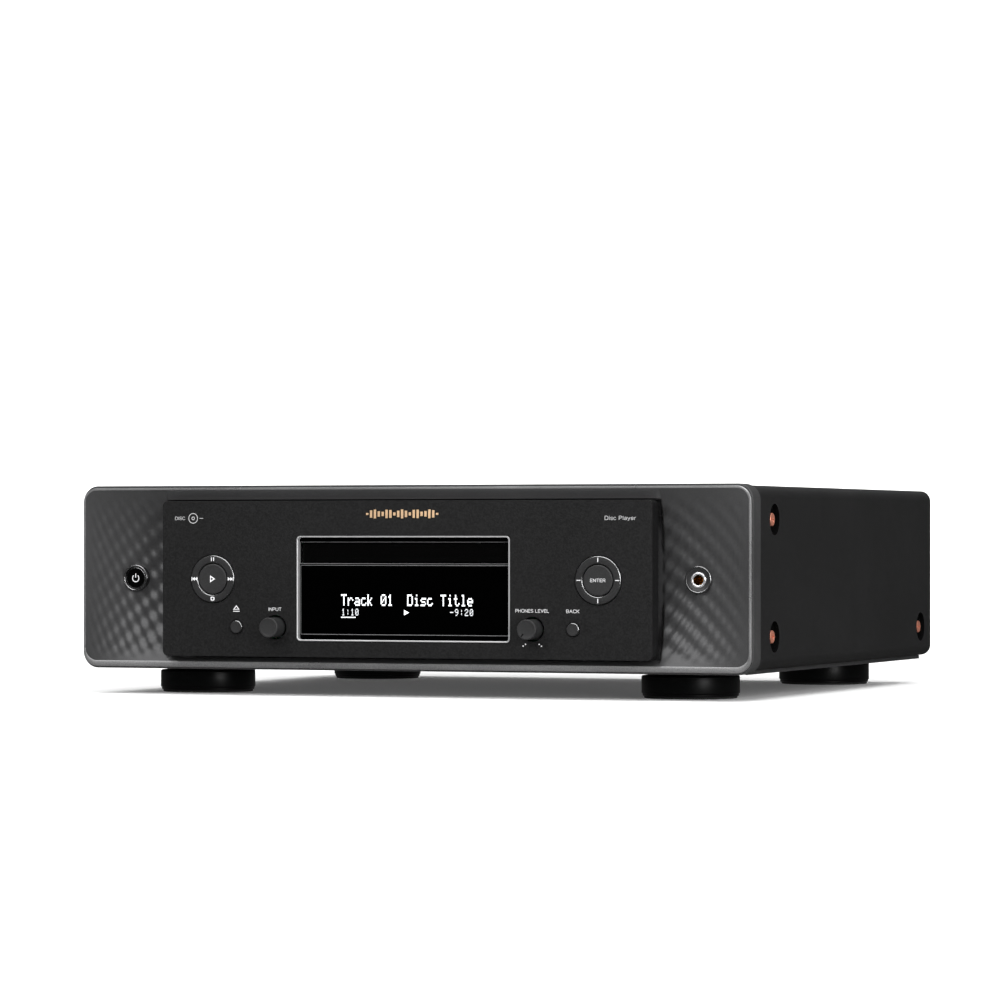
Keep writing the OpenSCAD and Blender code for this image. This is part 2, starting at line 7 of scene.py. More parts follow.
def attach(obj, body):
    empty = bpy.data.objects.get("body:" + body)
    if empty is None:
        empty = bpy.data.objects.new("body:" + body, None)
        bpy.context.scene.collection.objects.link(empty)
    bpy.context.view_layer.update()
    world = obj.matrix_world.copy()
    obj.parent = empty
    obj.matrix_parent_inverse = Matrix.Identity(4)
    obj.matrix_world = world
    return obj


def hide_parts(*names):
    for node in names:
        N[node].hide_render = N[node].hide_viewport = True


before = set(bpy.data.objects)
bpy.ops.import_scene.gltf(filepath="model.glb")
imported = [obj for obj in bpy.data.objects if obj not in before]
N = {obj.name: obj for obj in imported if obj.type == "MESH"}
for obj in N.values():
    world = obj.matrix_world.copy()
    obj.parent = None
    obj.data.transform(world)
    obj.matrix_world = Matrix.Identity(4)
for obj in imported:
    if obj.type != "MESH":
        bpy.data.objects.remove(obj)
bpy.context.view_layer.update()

scene = bpy.context.scene
MM = 0.001


# ------------------------------------------------------------------ camera
cam_data = bpy.data.cameras.new("camera")
cam = bpy.data.objects.new("camera", cam_data)
scene.collection.objects.link(cam)
cam.location = (1.016923, -2.657817, 0.098911)
cam.rotation_euler = (math.radians(90), 0, math.radians(21.207))
cam_data.sensor_width = 36.0
cam_data.lens = 157.21
cam_data.shift_y = 0.0356
cam_data.clip_start = 0.05
cam_data.clip_end = 60
scene.camera = cam
scene.view_settings.view_transform = "Standard"


# ------------------------------------------------------------------ materials
def nodes_of(name):
    m = bpy.data.materials.new(name)
    m.use_nodes = True
    nt = m.node_tree
    return m, nt, nt.nodes["Principled BSDF"]


def add(nt, kind, **values):
    n = nt.nodes.new(kind)
    for k, v in values.items():
        if hasattr(n, k):
            setattr(n, k, v)
    return n


def noise(nt, coord, scale, detail=3.0, rough=0.5, stretch=None):
    n = nt.nodes.new("ShaderNodeTexNoise")
    n.inputs["Scale"].default_value = scale
    n.inputs["Detail"].default_value = detail
    n.inputs["Roughness"].default_value = rough
    if stretch is not None:
        mp = nt.nodes.new("ShaderNodeMapping")
        mp.inputs["Scale"].default_value = stretch
        nt.links.new(coord, mp.inputs["Vector"])
        nt.links.new(mp.outputs["Vector"], n.inputs["Vector"])
    else:
        nt.links.new(coord, n.inputs["Vector"])
    return n.outputs["Fac"]


def ramp(nt, fac, lo, hi, c0, c1):
    r = nt.nodes.new("ShaderNodeValToRGB")
    r.color_ramp.elements[0].position = lo
    r.color_ramp.elements[1].position = hi
    r.color_ramp.elements[0].color = (*c0, 1)
    r.color_ramp.elements[1].color = (*c1, 1)
    nt.links.new(fac, r.inputs["Fac"])
    return r.outputs["Color"]


def maprange(nt, fac, a, b, c, d):
    r = nt.nodes.new("ShaderNodeMapRange")
    for i, v in enumerate((a, b, c, d)):
        r.inputs[i + 1].default_value = v
    nt.links.new(fac, r.inputs["Value"])
    return r.outputs["Result"]


def surface(name, col, rough, metal=0.0, grain=1500.0, grain_bump=0.06, blotch=14.0, var=0.12,
            rvar=0.05, speckle=0.28, coat=0.0, coat_rough=0.05, spec=0.5, stretch=None, wear=0.0, wear_col=None, ior=1.5):
    """Painted, moulded or plated surface: grain in the bump, slow colour and roughness change, worn edges."""
    m, nt, bs = nodes_of(name)
    tc = nt.nodes.new("ShaderNodeTexCoord").outputs["Object"]
    slow = noise(nt, tc, blotch, 4.0, 0.55)
    fine = noise(nt, tc, grain, 2.0, 0.6, stretch)
    lo = tuple(c * (1 - var) for c in col)
    hi = tuple(min(1.0, c * (1 + var)) for c in col)
    base = ramp(nt, slow, 0.3, 0.7, lo, hi)
    mixg = nt.nodes.new("ShaderNodeMix")
    mixg.data_type = "RGBA"
    mixg.blend_type = "MULTIPLY"
    mixg.inputs[0].default_value = 1.0
    nt.links.new(base, mixg.inputs[6])
    nt.links.new(ramp(nt, fine, 0.36, 0.64, (1 - speckle,) * 3, (1.0, 1.0, 1.0)), mixg.inputs[7])
    out = mixg.outputs[2]
    if wear > 0:
        geo = nt.nodes.new("ShaderNodeNewGeometry")
        edge = maprange(nt, geo.outputs["Pointiness"], 0.53, 0.62, 0.0, wear)
        mw = nt.nodes.new("ShaderNodeMix")
        mw.data_type = "RGBA"
        nt.links.new(edge, mw.inputs[0])
        nt.links.new(out, mw.inputs[6])
        mw.inputs[7].default_value = (*(wear_col or tuple(min(1, c * 3 + 0.03) for c in col)), 1)
        out = mw.outputs[2]
    nt.links.new(out, bs.inputs["Base Color"])
    nt.links.new(maprange(nt, slow, 0.3, 0.7, max(0.02, rough - rvar), min(1, rough + rvar)), bs.inputs["Roughness"])
    bs.inputs["Metallic"].default_value = metal
    bs.inputs["IOR"].default_value = ior
    bs.inputs["Specular IOR Level"].default_value = spec
    bs.inputs["Coat Weight"].default_value = coat
    bs.inputs["Coat Roughness"].default_value = coat_rough
    bp = nt.nodes.new("ShaderNodeBump")
    bp.inputs["Strength"].default_value = grain_bump
    bp.inputs["Distance"].default_value = 0.0004
    nt.links.new(fine, bp.inputs["Height"])
    nt.links.new(bp.outputs["Normal"], bs.inputs["Normal"])
    return m


def glow(name, col, strength):
    m, nt, bs = nodes_of(name)
    tc = nt.nodes.new("ShaderNodeTexCoord").outputs["Object"]
    n = noise(nt, tc, 900.0, 2.0)
    c = ramp(nt, n, 0.3, 0.7, tuple(x * 0.9 for x in col), col)
    nt.links.new(c, bs.inputs["Base Color"])
    nt.links.new(c, bs.inputs["Emission Color"])
    bs.inputs["Emission Strength"].default_value = strength
    bs.inputs["Roughness"].default_value = 0.5
    return m


def board(name, col):
    """Circuit board: solder mask with traces and pads."""
    m, nt, bs = nodes_of(name)
    tc = nt.nodes.new("ShaderNodeTexCoord").outputs["Object"]
    br = nt.nodes.new("ShaderNodeTexBrick")
    br.inputs["Scale"].default_value = 120.0
    br.inputs["Mortar Size"].default_value = 0.03
    br.inputs["Color1"].default_value = (*col, 1)
    br.inputs["Color2"].default_value = (*tuple(c * 0.8 for c in col), 1)
    br.inputs["Mortar"].default_value = (*tuple(min(1, c * 1.9 + 0.01) for c in col), 1)
    nt.links.new(tc, br.inputs["Vector"])
    vo = nt.nodes.new("ShaderNodeTexVoronoi")
    vo.inputs["Scale"].default_value = 260.0
    nt.links.new(tc, vo.inputs["Vector"])
    pad = ramp(nt, vo.outputs["Distance"], 0.10, 0.14, (1, 1, 1), (0, 0, 0))
    mx = nt.nodes.new("ShaderNodeMix")
    mx.data_type = "RGBA"
    nt.links.new(pad, mx.inputs[0])
    nt.links.new(br.outputs["Color"], mx.inputs[6])
    mx.inputs[7].default_value = (0.55, 0.5, 0.36, 1)
    nt.links.new(mx.outputs[2], bs.inputs["Base Color"])
    nt.links.new(maprange(nt, noise(nt, tc, 40.0), 0.3, 0.7, 0.3, 0.42), bs.inputs["Roughness"])
    bp = nt.nodes.new("ShaderNodeBump")
    bp.inputs["Strength"].default_value = 0.2
    bp.inputs["Distance"].default_value = 0.0002
    nt.links.new(br.outputs["Fac"], bp.inputs["Height"])
    nt.links.new(bp.outputs["Normal"], bs.inputs["Normal"])
    return m


M_COVER = surface("cover_paint", (0.0115, 0.0115, 0.0119), 0.50, grain=1400, grain_bump=0.14, speckle=0.4, spec=0.32)
M_BEZEL = surface("front_resin", (0.036, 0.036, 0.0368), 0.42, grain=1700, grain_bump=0.06)
M_PLATE = surface("waved_plate", (0.070, 0.070, 0.0715), 0.38, metal=0.62, grain=1900, grain_bump=0.06, var=0.05, rvar=0.02, speckle=0.12, wear=0.05)
# rim: a lighter copy of the plate metal, a painted highlight along the real chamfered edge
M_RIM_PAINTED_HIGHLIGHT = surface("plate_rim", (0.30, 0.30, 0.303), 0.30, metal=0.75, grain=1900, grain_bump=0.04, wear=0.1)
M_PANEL = surface("blasted_black", (0.0082, 0.0082, 0.0085), 0.58, grain=1050, grain_bump=0.35, var=0.06, rvar=0.03, speckle=0.6, spec=0.22)
M_GOLD = surface("satin_gold", (0.83, 0.56, 0.33), 0.34, metal=0.55, grain=1500, grain_bump=0.05, stretch=(1, 1, 14))
M_COPPER = surface("copper_plate", (0.90, 0.33, 0.22), 0.34, metal=0.75, grain=900, grain_bump=0.06, var=0.2, wear=0.3, wear_col=(0.9, 0.55, 0.4))
M_CHROME = surface("bright_trim", (0.78, 0.78, 0.80), 0.22, metal=0.8, grain=1500, grain_bump=0.02, stretch=(1, 1, 10), var=0.05, speckle=0.08)
M_GLOSS = surface("gloss_black", (0.0009, 0.0009, 0.0009), 0.12, grain=700, grain_bump=0.004, var=0.1, rvar=0.015, spec=0.12)
M_SMOKE = surface("smoked_window", (0.0002, 0.0002, 0.0002), 0.06, grain=500, grain_bump=0.002, var=0.1, rvar=0.01, spec=0.02)
M_TRIM = surface("satin_trim", (0.44, 0.44, 0.445), 0.34, metal=0.55, grain=1500, grain_bump=0.02, stretch=(1, 1, 10), var=0.04, speckle=0.06)
# grey ridge colour on the gloss black: a painted highlight for the chamfer glints
M_EDGE_PAINTED_HIGHLIGHT = surface("window_edge", (0.11, 0.11, 0.112), 0.40, metal=0.3, grain=1500, grain_bump=0.03)
M_BUTTON = surface("button_black", (0.019, 0.019, 0.0194), 0.44, grain=1500, grain_bump=0.10, speckle=0.2, spec=0.35, wear=0.25, wear_col=(0.2, 0.2, 0.205))
M_RING = surface("ring_black", (0.022, 0.022, 0.0225), 0.34, metal=0.2, grain=1600, grain_bump=0.08, speckle=0.2, wear=0.35, wear_col=(0.22, 0.22, 0.225))
M_GLINT = surface("cut_edge", (0.34, 0.34, 0.345), 0.26, metal=1.0, grain=1600, grain_bump=0.02, speckle=0.1)
M_FOOT = surface("foot_resin", (0.0020, 0.0020, 0.0021), 0.33, grain=900, grain_bump=0.02, spec=0.22, wear=0.05)
M_RUBBER = surface("pad_rubber", (0.012, 0.012, 0.0125), 0.8, grain=1200, grain_bump=0.35)
M_SCREW = surface("black_oxide", (0.02, 0.02, 0.021), 0.32, metal=0.8, grain=1200, grain_bump=0.08, wear=0.5, wear_col=(0.25, 0.25, 0.26))
M_STEEL = surface("plated_steel", (0.42, 0.42, 0.43), 0.32, metal=1.0, grain=500, grain_bump=0.05, blotch=60, var=0.12, stretch=(1, 12, 1), wear=0.2)
M_CHASSIS = surface("chassis_steel", (0.16, 0.16, 0.165), 0.38, metal=0.9, grain=500, grain_bump=0.05, blotch=40, stretch=(10, 1, 1), wear=0.2)
M_GROUND = surface("ground_steel", (0.62, 0.62, 0.64), 0.18, metal=1.0, grain=900, grain_bump=0.03, stretch=(1, 1, 12))
M_LOADER = surface("loader_black", (0.014, 0.014, 0.0145), 0.46, grain=1000, grain_bump=0.18, wear=0.2)
M_ACETAL = surface("natural_acetal", (0.62, 0.60, 0.52), 0.42, grain=600, grain_bump=0.06, var=0.05)
M_BELT = surface("belt_rubber", (0.012, 0.012, 0.012), 0.7, grain=1400, grain_bump=0.3)
M_GREEN = board("board_green", (0.012, 0.085, 0.035))
M_TAN = board("board_tan", (0.24, 0.13, 0.045))
M_WRAP = surface("wound_tape", (0.020, 0.022, 0.032), 0.35, grain=220, grain_bump=0.35, stretch=(1, 1, 6))
M_SLEEVE = surface("capacitor_sleeve", (0.010, 0.016, 0.075), 0.25, grain=700, grain_bump=0.05, wear=0.4, wear_col=(0.4, 0.4, 0.42))
M_GOLDP = surface("gold_plate", (0.80, 0.56, 0.24), 0.2, metal=1.0, grain=900, grain_bump=0.03, wear=0.2)
M_PORT = surface("tinned_steel", (0.55, 0.55, 0.57), 0.28, metal=1.0, grain=700, grain_bump=0.05, stretch=(1, 8, 1))
M_LENS = surface("coated_lens", (0.05, 0.12, 0.30), 0.05, grain=400, grain_bump=0.0, coat=0.8, var=0.3)
M_RED = surface("red_insulator", (0.45, 0.012, 0.012), 0.35, grain=900, grain_bump=0.05)
M_WHITE = surface("white_insulator", (0.75, 0.75, 0.73), 0.38, grain=900, grain_bump=0.05, var=0.04)
M_PRINT = surface("grey_print", (0.62, 0.62, 0.63), 0.55, grain=2500, grain_bump=0.10, var=0.03, speckle=0.08)
M_SIGN = surface("sign_print", (0.42, 0.42, 0.425), 0.55, grain=2500, grain_bump=0.10, var=0.03, speckle=0.08)
M_TEXT = glow("display_dots", (0.90, 0.93, 0.95), 0.44)
M_TEXT2 = glow("display_small_dots", (0.62, 0.64, 0.66), 0.38)
# near-black: ink for the knob pointer, and painted shade in the cover's screw wells
M_DARK_PRINT_AND_SHADE = surface("recess_dark", (0.002, 0.002, 0.002), 0.8, grain=900, grain_bump=0.1, spec=0.04)

CAD_LOOK = {
    "bottom_chassis": (M_CHASSIS, 0.15), "top_cover": (M_COVER, 0.25), "rear_panel": (M_COVER, 0.15), "cover_screws": (M_COPPER, 0.2),
    "chassis_screws": (M_SCREW, 0.15), "front_bezel": (M_BEZEL, 0.5), "centre_panel": (M_PANEL, 0.35), "panel_emblem": (M_GOLD, 0.08),
    "display_window": (M_SMOKE, 0.18), "display_module": (M_GREEN, 0.1), "power_ring": (M_GLINT, 0.1),
    "headphone_jack": (M_CHROME, 0.15), "front_board": (M_GREEN, 0.1), "tact_switches": (M_STEEL, 0.1), "input_encoder": (M_STEEL, 0.2),
    "phones_pot": (M_STEEL, 0.2), "loader_base": (M_LOADER, 0.25), "loader_bridge": (M_STEEL, 0.15), "loader_brackets": (M_STEEL, 0.15),
    "loading_motor": (M_GROUND, 0.2), "loading_belt": (M_BELT, 0), "main_board": (M_GREEN, 0.1), "power_supply_board": (M_TAN, 0.1),
    "transformer": (M_WRAP, 0.3), "filter_capacitors": (M_SLEEVE, 0.2), "network_module": (M_GREEN, 0.1), "audio_jacks": (M_GOLDP, 0.15),
    "digital_jacks": (M_GLOSS, 0.15), "network_ports": (M_PORT, 0.12), "antenna_sockets": (M_GOLDP, 0.12), "ac_inlet": (M_LOADER, 0.2),
    "disc_tray": (M_LOADER, 0.25), "tray_door": (M_GLOSS, 0.25), "motor_pulley": (M_ACETAL, 0.1), "drive_gear": (M_ACETAL, 0.08),
    "traverse_frame": (M_STEEL, 0.15), "guide_rods": (M_GROUND, 0.1), "spindle_motor": (M_GROUND, 0.2), "sled_motor": (M_GROUND, 0.15),
    "turntable": (M_LOADER, 0.2), "pickup_sled": (M_STEEL, 0.15), "pickup_lens": (M_LENS, 0.1), "sled_gear": (M_ACETAL, 0.06),
    "cam_slider": (M_ACETAL, 0.1), "clamp_puck": (M_LOADER, 0.2), "transport_carrier": (M_LOADER, 0.1), "nav_carrier": (M_LOADER, 0.1),
}


# plates with long rows of openings keep their own triangles
KEEP_TRIANGLES = ("rear_panel", "loader_base", "network_module", "digital_jacks")


def bevel_stack(o, width, seg=2):
    if "custom_normal" in o.data.attributes:
        o.data.attributes.remove(o.data.attributes["custom_normal"])
    w = o.modifiers.new("weld", "WELD")
    w.merge_threshold = 1e-6
    if not o.name.startswith(KEEP_TRIANGLES) and o.data.name not in KEEP_TRIANGLES:
        d = o.modifiers.new("planes", "DECIMATE")
        d.decimate_type = "DISSOLVE"
        d.angle_limit = math.radians(0.6)
    if width > 0:
        b = o.modifiers.new("edge", "BEVEL")
        b.width = width * MM
        b.segments = seg
        b.limit_method = "ANGLE"
        b.angle_limit = math.radians(38)
        b.use_clamp_overlap = True
        b.miter_outer = "MITER_ARC"
    n = o.modifiers.new("shade", "WEIGHTED_NORMAL")
    n.mode = "FACE_AREA_WITH_ANGLE"
    n.weight = 60
    n.keep_sharp = True


def paint(o, m):
    o.data.materials.clear()
    o.data.materials.append(m)


BOXY = {"centre_panel", "top_cover", "rear_panel", "front_bezel", "disc_tray", "tray_door", "display_window", "bottom_chassis", "loader_base", "main_board"}
for nm, (m, w) in CAD_LOOK.items():
    o = N[nm]
    paint(o, m)
    for p in o.data.polygons:
        p.use_smooth = not (nm in BOXY and max(abs(c) for c in p.normal) > 0.9998)
    bevel_stack(o, w)

# painted shade: the pressed wells round the side screws lie in shade, so they get a near-black material
o = N["top_cover"]
o.data.materials.append(M_DARK_PRINT_AND_SHADE)
for p in o.data.polygons:
    c = o.matrix_world @ p.center
    for wy, wz in ((-146.7, 108.6), (-146.7, 37.9), (176.1, 37.9)):
        if 0.2150 < abs(c.x) < 0.2198 and math.hypot(c.y / MM - wy, c.z / MM - wz) < 9.7:
            p.material_index = 1
o.modifiers["planes"].delimit = {"MATERIAL"}

# headphone socket: black collar, bright sleeve, gold contact inside the bore, black housing behind
o = N["headphone_jack"]
o.data.materials.clear()
for m in (M_RING, M_CHROME, M_GOLDP, M_LOADER):
    o.data.materials.append(m)
mid = Vector((185.8 * MM, 0, 72.4 * MM))
for p in o.data.polygons:
    c = o.matrix_world @ p.center
    far = math.hypot(c.x - mid.x, c.z - mid.z) / MM
    if far < 3.35:
        p.material_index = 2 if c.y > -0.186 else 1
    elif c.y > -0.1815:
        p.material_index = 3
    elif far < 4.75:
        p.material_index = 1
    else:
        p.material_index = 0
o.modifiers["planes"].delimit = {"MATERIAL"}


# ------------------------------------------------------------------ mesh helpers, in millimetres
def make(name, verts, faces, m, body, slot=None, smooth=35, replaces=()):
    me = bpy.data.meshes.new(name)
    me.from_pydata([(x * MM, y * MM, z * MM) for x, y, z in verts], [], faces)
    me.validate()
    bm = bmesh.new()
    bm.from_mesh(me)
    bmesh.ops.remove_doubles(bm, verts=bm.verts, dist=1e-7)
    bmesh.ops.recalc_face_normals(bm, faces=bm.faces)
    if smooth:
        lim = math.radians(smooth)
        for f in bm.faces:
            f.smooth = True
        for e in bm.edges:
            e.smooth = not (len(e.link_faces) == 2 and e.calc_face_angle(0) > lim)
    bm.to_mesh(me)
    bm.free()
    o = bpy.data.objects.new(name, me)
    scene.collection.objects.link(o)
    paint(o, m)
    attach(o, body)
    if replaces:
        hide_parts(*replaces)
    return o


def ringpts(x0, x1, z0, z1, r, n=10):
    pts = []
    for cx, cz, a0 in ((x1 - r, z1 - r, 0), (x0 + r, z1 - r, 90), (x0 + r, z0 + r, 180), (x1 - r, z0 + r, 270)):
        for i in range(n + 1):
            a = math.radians(a0 + 90 * i / n)
            pts.append((cx + r * math.cos(a), cz + r * math.sin(a)))
    return pts


def loft(sections, closed=False, n=10):
    """Sections are (x0, x1, z0, z1, r, y). Returns verts and faces; ends are capped unless closed."""
    verts, faces = [], []
    for x0, x1, z0, z1, r, y in sections:
        verts += [(x, y, z) for x, z in ringpts(x0, x1, z0, z1, r, n)]
    k = 4 * (n + 1)
    s = len(sections)
    for i in range(s if closed else s - 1):
        a, b = i * k, ((i + 1) % s) * k
        for j in range(k):
            faces.append((a + j, a + (j + 1) % k, b + (j + 1) % k, b + j))
    if not closed:
        faces.append(tuple(range(k)))
        faces.append(tuple(reversed(range((s - 1) * k, s * k))))
    return verts, faces


def spin(profile, centre, axis="Y", seg=96, closed=False):
    """profile is (radius, along); centre is the point that along = 0 is at."""
    verts, faces = [], []
    for r, t in profile:
        for i in range(seg):
            a = 2 * math.pi * i / seg
            c, s = r * math.cos(a), r * math.sin(a)
            if axis == "Y":
                verts.append((centre[0] + c, centre[1] + t, centre[2] + s))
            elif axis == "Z":
                verts.append((centre[0] + c, centre[1] + s, centre[2] + t))
            else:
                verts.append((centre[0] + t, centre[1] + c, centre[2] + s))
    k = len(profile)
    for i in range(k if closed else k - 1):
        a, b = i * seg, ((i + 1) % k) * seg
        for j in range(seg):
            faces.append((a + j, a + (j + 1) % seg, b + (j + 1) % seg, b + j))
    if not closed:
        if profile[0][0] > 1e-6:
            faces.append(tuple(range(seg)))
        if profile[-1][0] > 1e-6:
            faces.append(tuple(reversed(range((k - 1) * seg, k * seg))))
    return verts, faces


def merge(parts):
    verts, faces = [], []
    for v, f in parts:
        o = len(verts)
        verts += v
        faces += [tuple(i + o for i in q) for q in f]
    return verts, faces


def prism(pts, y0, y1):
    """Flat shape in X and Z, extruded along Y. pts run round the outline."""
    k = len(pts)
    verts = [(x, y0, z) for x, z in pts] + [(x, y1, z) for x, z in pts]
    faces = [tuple(range(k)), tuple(reversed(range(k, 2 * k)))]
    faces += [(j, (j + 1) % k, k + (j + 1) % k, k + j) for j in range(k)]
    return verts, faces


def frame_shape(outer, inner, y0, y1):
    """Outline with a hole: both lists have the same count."""
    k = len(outer)
    verts = [(x, y0, z) for x, z in outer] + [(x, y0, z) for x, z in inner]
    verts += [(x, y1, z) for x, z in outer] + [(x, y1, z) for x, z in inner]
    faces = []
    for j in range(k):
        q = (j + 1) % k
        faces += [(j, q, k + q, k + j), (2 * k + j, 3 * k + j, 3 * k + q, 2 * k + q), (j, 2 * k + j, 2 * k + q, q), (k + j, k + q, 3 * k + q, 3 * k + j)]
    return verts, faces


def bar(x0, x1, z0, z1, y0, y1):
    return prism([(x0, z0), (x1, z0), (x1, z1), (x0, z1)], y0, y1)


# ------------------------------------------------------------------ the dished, waved front plate
P = 13.0
COL = [0, 6.0, 11.1, 16.0, 20.9, 25.2, 29.5, 33.5, 37.3, 40.6, 44.0, 47.2, 50.2]


def column(u):
    """Column number at |x| = u, counted outwards from the centre panel."""
    t = u - 169.0
    if t <= 0:
        return t / 6.0
    for i in range(1, len(COL)):
        if t <= COL[i]:
            return i - 1 + (t - COL[i - 1]) / (COL[i] - COL[i - 1])
    return len(COL) - 1 + (t - COL[-1]) / 3.0


def smooth(a, b, x):
    t = min(1.0, max(0.0, (x - a) / (b - a)))
    return t * t * (3 - 2 * t)


def plate_y(x, z):
    u = abs(x)
    d = 10.9 if u < 158 else 10.9 * max(0.0, (218.8 - u) / 60.8) ** 0.88
    h = min(1.0, abs(z - 74.05) / 53.3)
    wing = d * (1 - h ** 2.15)
    if z > 74.05:
        mid = 1.0 * smooth(127.3, 120.9, z) + 5.4 * smooth(121.0, 120.2, z) + 4.5 * smooth(120.2, 110, z)
    else:
        mid = 2.6 * smooth(20.8, 23.6, z) + 3.8 * smooth(23.4, 24.2, z) + 4.5 * smooth(24.2, 34, z)
    m = smooth(163.4, 160.6, u)
    y = -193.5 + wing * (1 - m) + mid * m
    if 150 < u < 218.8:
        k = column(u)
        sft = P / 3 * k
        f1 = 2 * math.pi * (z + sft - 92.3) / P
        f2 = 2 * math.pi * (z - 2 * sft - 92.3) / P
        amp = 0.60 * (0.36 + 0.64 * smooth(212, 168, u)) * smooth(218.5, 209, u) * smooth(20.8, 31, z) * smooth(127, 110, z)
        y += amp * (1 - m) * (math.sin(f1) + math.sin(f2)) / 2
    return min(y, -181.6)


def front_plate():
    xs = [-218.8 + 0.55 * i for i in range(126)]
    xs = [x for x in xs if x < -149.9]
    xs[-1] = -150.0
    mid = [-150 + 10 * i for i in range(1, 30)]
    xs = xs + mid + [-x for x in reversed(xs)]
    rows = 194
    r = 7.9
    verts, ids = [], {}
    z0, z1 = 20.8, 127.3
    for i, x in enumerate(xs):
        e = 218.8 - abs(x)
        cut = r - math.sqrt(max(0.0, r * r - (r - e) ** 2)) if e < r else 0.0
        for j in range(rows + 1):
            z = z0 + cut + (z1 - z0 - 2 * cut) * j / rows
            ids[i, j] = len(verts)
            verts.append([x, plate_y(x, z), z])
    faces = []
    holes = [(-185.8, 72.4), (185.8, 72.4)]
    for i in range(len(xs) - 1):
        for j in range(rows):
            q = (ids[i, j], ids[i + 1, j], ids[i + 1, j + 1], ids[i, j + 1])
            cx = sum(verts[k][0] for k in q) / 4
            cz = sum(verts[k][2] for k in q) / 4
            if abs(cx) < 149.9 and 29 < cz < 115:
                continue
            if any((cx - h[0]) ** 2 + (cz - h[1]) ** 2 < 8.05 ** 2 for h in holes):
                continue
            faces.append(q)
    used = sorted({k for q in faces for k in q})
    remap = {k: i for i, k in enumerate(used)}
    verts = [verts[k] for k in used]
    faces = [tuple(remap[k] for k in q) for q in faces]
    count = {}
    for q in faces:
        for a in range(4):
            e = (q[a], q[(a + 1) % 4])
            count[tuple(sorted(e))] = count.get(tuple(sorted(e)), []) + [e]
    edges = [v[0] for v in count.values() if len(v) == 1]
    for k in {k for e in edges for k in e}:
        for hx, hz in holes:
            d = math.hypot(verts[k][0] - hx, verts[k][2] - hz)
            if d < 9.5:
                s = 8.2 / d
                verts[k][0] = hx + (verts[k][0] - hx) * s
                verts[k][2] = hz + (verts[k][2] - hz) * s
                verts[k][1] = plate_y(verts[k][0], verts[k][2])
    n = len(verts)
    back = [[x, min(y + 1.5, -181.0), z] for x, y, z in verts]
    faces += [tuple(k + n for k in reversed(q)) for q in faces]
    faces += [(b, a, a + n, b + n) for a, b in edges]
    return verts + back, faces


make("front_plate_waved", *front_plate(), M_PLATE, "chassis", "front_plate_metal", 60, ["front_plate"])
# the chamfered rim is real; its lighter metal than the plate is a painted highlight
rim = loft([(-220.2, 220.2, 17.1, 128.7, 9.3, -193.05), (-219.75, 219.75, 17.55, 128.25, 8.85, -193.5),
            (-218.9, 218.9, 20.5, 127.4, 8.0, -193.5), (-218.75, 218.75, 20.85, 127.25, 7.85, -193.35),
            (-218.6, 218.6, 21.2, 127.0, 7.7, -192.0), (-219.2, 219.2, 18.1, 127.7, 8.3, -191.55),
            (-219.2, 219.2, 18.1, 127.7, 8.3, -191.9), (-220.2, 220.2, 17.1, 128.7, 9.3, -191.9)], closed=True, n=16)
make("front_plate_rim", *rim, M_RIM_PAINTED_HIGHLIGHT, "chassis", "front_plate_metal", 30)


# ------------------------------------------------------------------ round controls
def hub_piece(name, x, node):
    prof = [(0, 0.16), (4.0, 0.12), (8.2, 0.02), (8.75, 0.0), (9.05, 0.06), (9.22, 0.2), (9.3, 0.45), (9.3, 6.1), (3, 6.1), (3, 8.6), (0, 8.6)]
    return make(name, *spin(prof, (x, -202.3, 72.1)), M_BUTTON, node, "button_black", 40, [node])


hub_piece("play_button_cap", -126.8, "play_button")
hub_piece("enter_button_cap", 126.8, "enter_button")


def ring_piece(name, x, node):
    prof = [(9.95, 0.55), (10.05, 0.3), (10.3, 0.08), (10.55, 0.0), (12.3, 0.12), (14.0, 0.0), (14.3, 0.08), (14.52, 0.3), (14.6, 0.55), (14.6, 5.9), (9.95, 5.9)]
    return make(name, *spin(prof, (x, -202.2, 72.1), seg=128, closed=True), M_RING, node, "button_black", 40, [node])


ring_piece("transport_rocker", -126.8, "transport_ring")
ring_piece("nav_rocker", 126.8, "nav_ring")


def pip_piece(name, x, node):
    prof = [(0, 0.12), (2.6, 0.06), (3.4, 0.0), (3.75, 0.06), (3.95, 0.22), (4.05, 0.5), (4.05, 4.4), (5.4, 4.4), (5.4, 5.6), (1.6, 5.6), (1.6, 8.9), (0, 8.9)]
    return make(name, *spin(prof, (x, -202.6, 42.5), seg=64), M_BUTTON, node, "button_black", 40, [node])


pip_piece("eject_button_cap", -110.8, "eject_button")
pip_piece("back_button_cap", 110.8, "back_button")


def knob_piece(name, x, node):
    prof = [(0, 0.30), (3.5, 0.24), (5.0, 0.12), (5.35, 0.02), (5.6, 0.0), (5.85, 0.08), (6.02, 0.26), (6.1, 0.55), (6.1, 13.9), (5.9, 14.6), (3, 14.6), (3, 23.6), (0, 23.6)]
    return make(name, *spin(prof, (x, -212, 42.5), seg=96), M_BUTTON, node, "button_black", 40, [node])


knob_piece("input_knob_body", -84.7, "input_knob")
knob_piece("phones_knob_body", 84.7, "phones_knob")
# painted pointer on the level knob
a = math.radians(218)
ca, sa = math.cos(a), math.sin(a)
pts = [(-0.32, 3.3), (0.32, 3.3), (0.32, 5.55), (-0.32, 5.55)]
pts = [(84.7 + px * ca + pz * sa, 42.5 - px * sa + pz * ca) for px, pz in pts]
make("phones_knob_pointer", *prism(pts, -211.985, -211.6), M_DARK_PRINT_AND_SHADE, "phones_knob", "button_black", 0)

# polished chamfers that catch the light
def chamfer(name, x, y, z, r, w, body, inward=False, slot="button_black"):
    s = -1 if inward else 1
    prof = [(r - s * w, -0.03), (r - s * w * 0.45, 0.06), (r + s * 0.03, w), (r + s * 0.03, w + 0.25), (r - s * 0.12, w + 0.25), (r - s * w, 0.22)]
    return make(name, *spin(prof, (x, y, z), seg=96, closed=True), M_GLINT, body, slot, 50)


